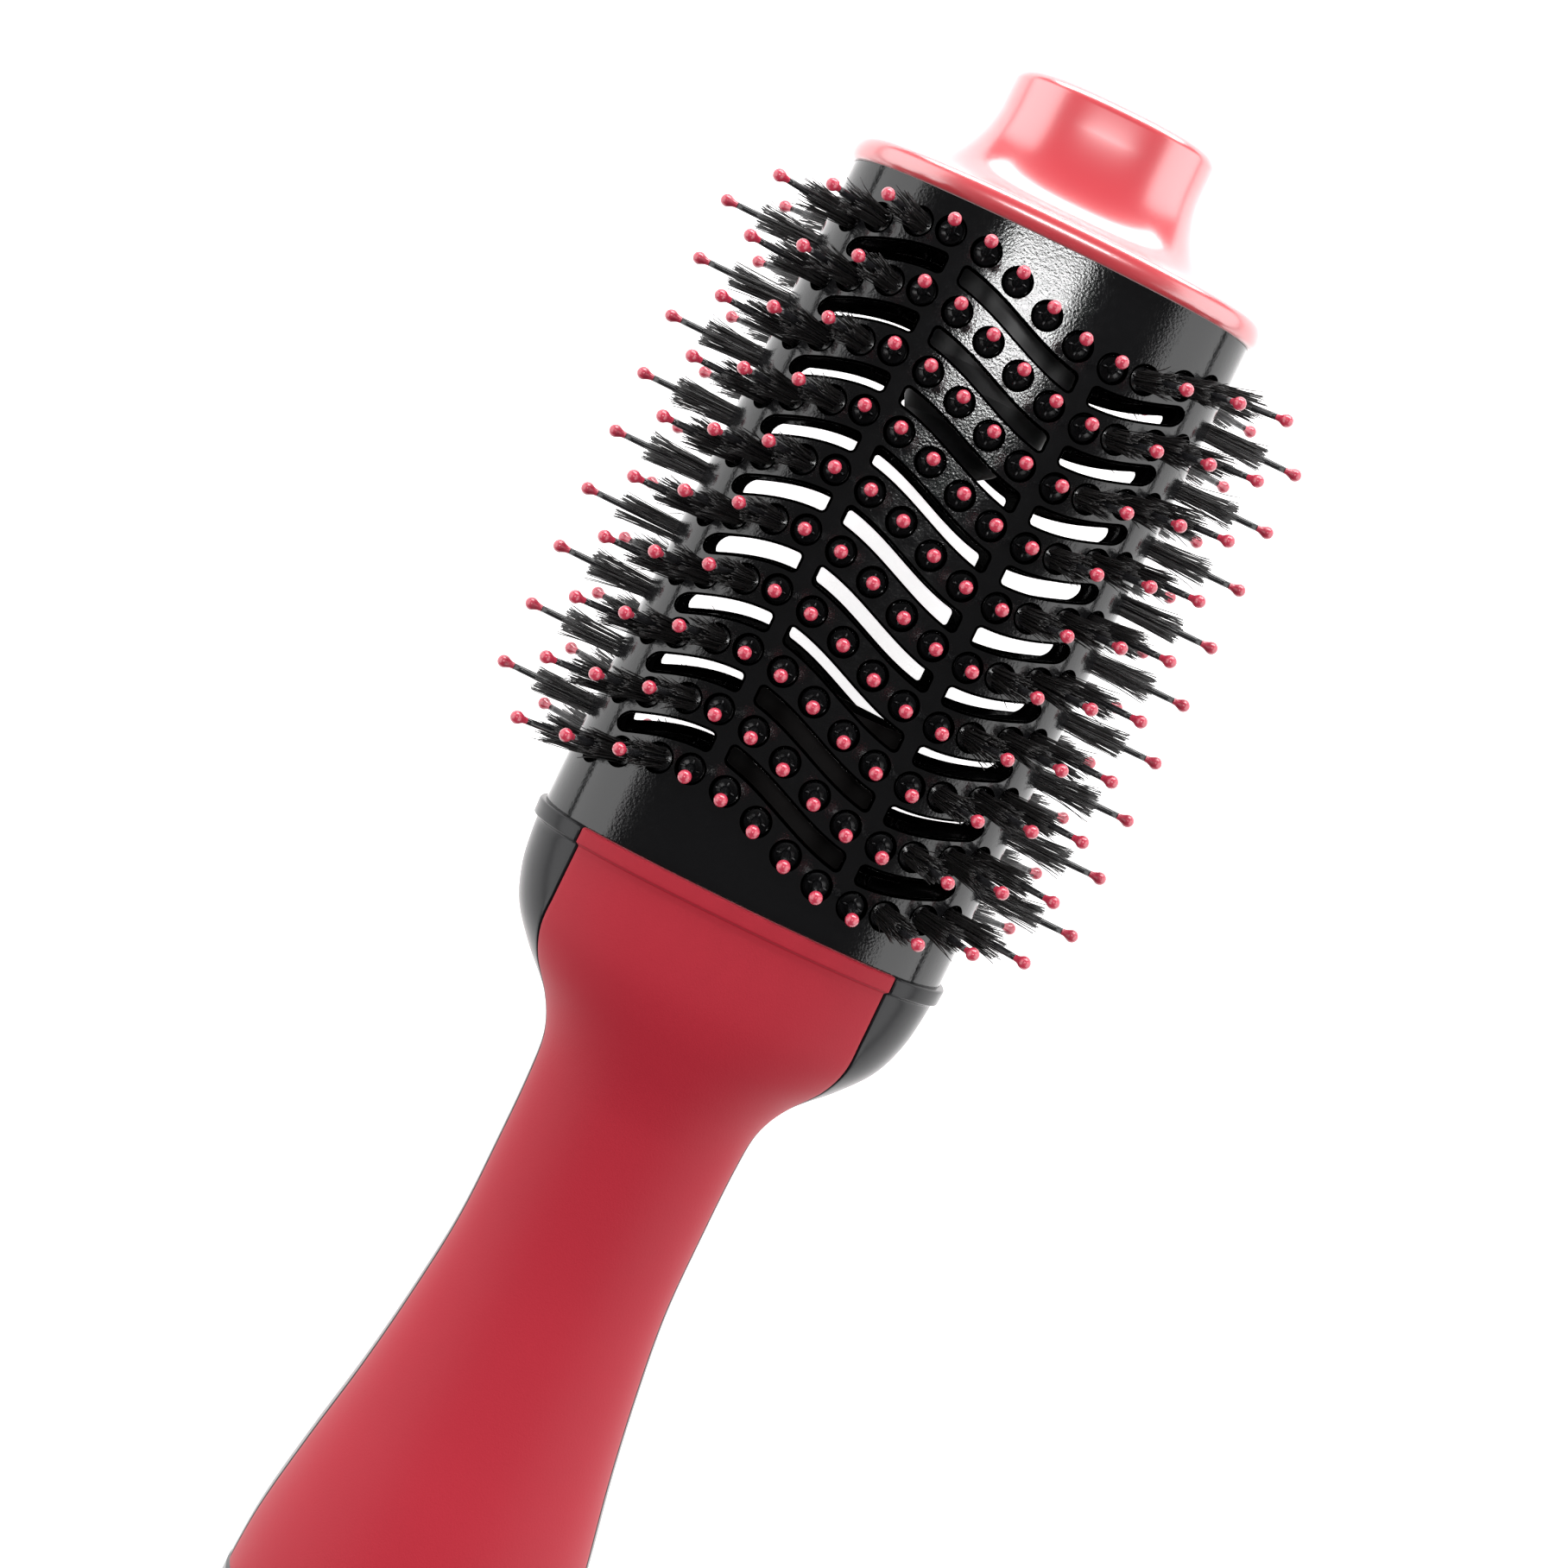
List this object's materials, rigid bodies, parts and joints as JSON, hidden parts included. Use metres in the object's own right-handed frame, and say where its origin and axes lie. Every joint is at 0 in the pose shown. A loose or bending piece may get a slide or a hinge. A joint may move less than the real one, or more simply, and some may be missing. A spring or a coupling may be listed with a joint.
{
  "type": "hot-air styling brush",
  "caption": "Hot-air styling brush: oval slotted barrel with ball-tipped pins and bristle tufts, cool tip and waisted handle with a rotary selector.",
  "frame": {"origin": "middle of the brush's length and width, on the plane that its lowest pin tips touch", "axes": "+X along the brush towards the cool tip, +Y to its left, +Z out of its front face"},
  "size_m": [0.35, 0.1112, 0.0759],
  "materials": {
    "coral_plastic": "satin gloss moulded coral red",
    "black_plastic": "moulded black",
    "gloss_black": "high gloss black",
    "pin_nylon": "black nylon with pink-red ball tips",
    "bristle": "fine dark bristle",
    "mica": "layered mica sheet",
    "heater_wire": "oxidised resistance wire",
    "zinc_steel": "plated",
    "bright_steel": "ground",
    "ceramic_white": "glazed",
    "lead_white": "insulated wire",
    "lead_red": "insulated wire",
    "board_green": "solder resist",
    "grey_plastic": "heat-resistant moulding",
    "cream_plastic": "heat-resistant moulding",
    "bronze": "turned",
    "magnet": "sintered ferrite",
    "rotor_iron": "laminations and enamelled winding",
    "soft_red": "soft-touch coating over red plastic",
    "satin_black": "satin black",
    "black_screw": "black oxide",
    "filter_mesh": "woven mesh"
  },
  "bodies": {
    "brush_body": {"cool_tip_cap": "coral_plastic", "cap_insert": "black_plastic", "barrel_end_plate": "black_plastic", "air_deflector": "black_plastic", "cap_screws": "zinc_steel", "barrel_front_shell": "gloss_black", "barrel_back_shell": "gloss_black", "front_pin_strips": "pin_nylon", "back_pin_strips": "pin_nylon", "left_pin_strips": "pin_nylon", "right_pin_strips": "pin_nylon", "left_tufts": "bristle", "right_tufts": "bristle", "collar_ring": "black_plastic", "mica_sleeve": "mica", "heater_board_wide": "mica", "heater_board_tall": "mica", "heater_coil": "heater_wire", "thermostat": "zinc_steel", "thermal_fuse": "ceramic_white", "heater_leads": "lead_white", "control_board": "board_green", "board_diodes": "black_plastic", "duct_front_half": "grey_plastic", "duct_back_half": "grey_plastic", "motor_mount": "grey_plastic", "motor_can": "zinc_steel", "motor_end_bell": "cream_plastic", "motor_bushes": "bronze", "motor_magnets": "magnet", "motor_leads": "lead_red", "handle_front_cover": "soft_red", "handle_back_cover": "soft_red", "left_cheek": "satin_black", "right_cheek": "satin_black", "cover_screws": "black_screw", "tail_sleeve": "black_plastic", "switch_base": "grey_plastic", "switch_contacts": "bronze", "detent_spring": "bright_steel", "end_cap": "satin_black", "inlet_filter": "filter_mesh"},
    "selector": {"selector_ring": "satin_black", "switch_rotor": "cream_plastic"},
    "fan_rotor": {"fan_impeller": "grey_plastic", "motor_shaft": "bright_steel", "rotor_core": "rotor_iron", "commutator": "bronze"},
    "cord_swivel": {"swivel_gland": "satin_black", "gland_circlip": "bright_steel"}
  },
  "joints": [
    {"name": "selector_turn", "type": "hinge", "parent": "brush_body", "child": "selector", "pos_m": [-0.124, 0, 0.03793], "axis": [1, 0, 0], "range_deg": [0, 90]},
    {"name": "fan_spin", "type": "hinge", "parent": "brush_body", "child": "fan_rotor", "pos_m": [-0.085, 0, 0.03793], "axis": [1, 0, 0], "continuous": true},
    {"name": "cord_turn", "type": "hinge", "parent": "brush_body", "child": "cord_swivel", "pos_m": [-0.157, 0, 0.03793], "axis": [1, 0, 0], "continuous": true}
  ]
}
